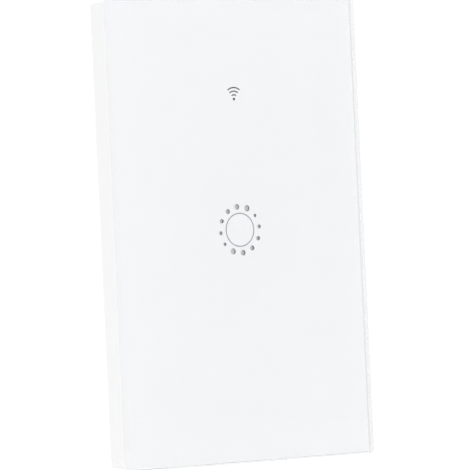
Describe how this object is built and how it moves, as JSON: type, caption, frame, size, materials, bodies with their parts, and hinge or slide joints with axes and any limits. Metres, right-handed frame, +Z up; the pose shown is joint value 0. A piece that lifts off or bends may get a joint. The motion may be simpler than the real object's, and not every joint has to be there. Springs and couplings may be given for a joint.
{
  "type": "smart touch switch",
  "caption": "Wall touch switch: a glass panel with a white back, pegged to a slim base frame, with a relay and supply in a rear housing and rising-clamp wire terminals.",
  "frame": {"origin": "middle of the wall plane, halfway between the two box screw holes", "axes": "+X right seen from the room, +Y into the wall, +Z up"},
  "size_m": [0.075, 0.035, 0.12],
  "materials": {
    "glass": "clear polished",
    "white_print": "white screen print on a thin sheet",
    "tape_foam": "foam tape",
    "panel_plastic": "fine moulded texture",
    "frame_plastic": "fine moulded texture",
    "housing_plastic": "fine moulded texture",
    "yoke_steel": "zinc plated",
    "screw_steel": "zinc plated",
    "touch_laminate": "white solder mask",
    "power_laminate": "green solder mask",
    "module_laminate": "blue solder mask",
    "light_guide": "translucent",
    "led_resin": "clear resin",
    "spring_wire": "tinned wire",
    "shield_tin": "tinned sheet",
    "chip_resin": "moulded resin",
    "header_plastic": "moulded",
    "pin_metal": "plated",
    "relay_plastic": "moulded",
    "relay_steel": "nickel plated",
    "bobbin_plastic": "moulded",
    "copper_winding": "enamelled copper wire",
    "contact_metal": "rolled strip with silver buttons",
    "film_cap_case": "moulded case",
    "varistor_coating": "dipped coating",
    "fuse_coating": "lacquered",
    "can_sleeve": "shrunk sleeve",
    "ferrite": "sintered",
    "terminal_plastic": "moulded",
    "terminal_brass": "stamped"
  },
  "bodies": {
    "base": {"base_frame": "frame_plastic", "mounting_yoke": "yoke_steel", "rear_housing": "housing_plastic", "assembly_screws": "screw_steel", "board_screws": "screw_steel", "touch_board": "touch_laminate", "key_light_guide": "light_guide", "signal_light_guide": "light_guide", "indicator_leds": "led_resin", "touch_spring": "spring_wire", "wireless_module": "module_laminate", "module_shield": "shield_tin", "touch_chip": "chip_resin", "header_socket": "header_plastic", "header_strip": "header_plastic", "header_pins": "pin_metal", "power_board": "power_laminate", "relay_base": "relay_plastic", "relay_case": "relay_plastic", "relay_frame": "relay_steel", "relay_core": "relay_steel", "relay_bobbin": "bobbin_plastic", "relay_winding": "copper_winding", "relay_fixed_contact": "contact_metal", "safety_capacitor": "film_cap_case", "varistor": "varistor_coating", "fuse_resistor": "fuse_coating", "filter_capacitors": "can_sleeve", "transformer_core": "ferrite", "transformer_bobbin": "bobbin_plastic", "transformer_winding": "copper_winding", "choke_core": "ferrite", "choke_winding": "copper_winding", "rectifier_chip": "chip_resin", "terminal_block": "terminal_plastic", "terminal_bars": "terminal_brass"},
    "front_panel": {"glass_panel": "glass", "printed_backing": "white_print", "adhesive_frame": "tape_foam", "panel_tray": "panel_plastic"},
    "armature": {"relay_armature": "relay_steel", "relay_contact_leaf": "contact_metal"},
    "screw_1": {"clamp_screw_1": "screw_steel"},
    "cage_1": {"clamp_cage_1": "screw_steel"},
    "screw_2": {"clamp_screw_2": "screw_steel"},
    "cage_2": {"clamp_cage_2": "screw_steel"},
    "screw_3": {"clamp_screw_3": "screw_steel"},
    "cage_3": {"clamp_cage_3": "screw_steel"}
  },
  "joints": [
    {"name": "panel_pull", "type": "slide", "parent": "base", "child": "front_panel", "axis": [0, -1, 0], "range_m": [0, 0.03]},
    {"name": "relay_pull_in", "type": "hinge", "parent": "base", "child": "armature", "pos_m": [-0.0071, 0.0166, 0.00575], "axis": [-1, 0, 0], "range_deg": [0, 4], "stiffness_Nm_per_rad": 0.002, "springref_deg": -17.19},
    {"name": "clamp_turn_1", "type": "hinge", "parent": "base", "child": "screw_1", "pos_m": [-0.009, 0.02, -0.02135], "axis": [0, -1, 0], "range_deg": [0, 1440]},
    {"name": "clamp_rise_1", "type": "slide", "parent": "base", "child": "cage_1", "axis": [0, 1, 0], "range_m": [0, 0.003]},
    {"name": "clamp_turn_2", "type": "hinge", "parent": "base", "child": "screw_2", "pos_m": [0, 0.02, -0.02135], "axis": [0, -1, 0], "range_deg": [0, 1440]},
    {"name": "clamp_rise_2", "type": "slide", "parent": "base", "child": "cage_2", "axis": [0, 1, 0], "range_m": [0, 0.003]},
    {"name": "clamp_turn_3", "type": "hinge", "parent": "base", "child": "screw_3", "pos_m": [0.009, 0.02, -0.02135], "axis": [0, -1, 0], "range_deg": [0, 1440]},
    {"name": "clamp_rise_3", "type": "slide", "parent": "base", "child": "cage_3", "axis": [0, 1, 0], "range_m": [0, 0.003]}
  ],
  "couplings": [
    {"joint": "clamp_turn_1", "follows": "clamp_rise_1", "rad_per_m": 8377},
    {"joint": "clamp_turn_2", "follows": "clamp_rise_2", "rad_per_m": 8377},
    {"joint": "clamp_turn_3", "follows": "clamp_rise_3", "rad_per_m": 8377}
  ]
}
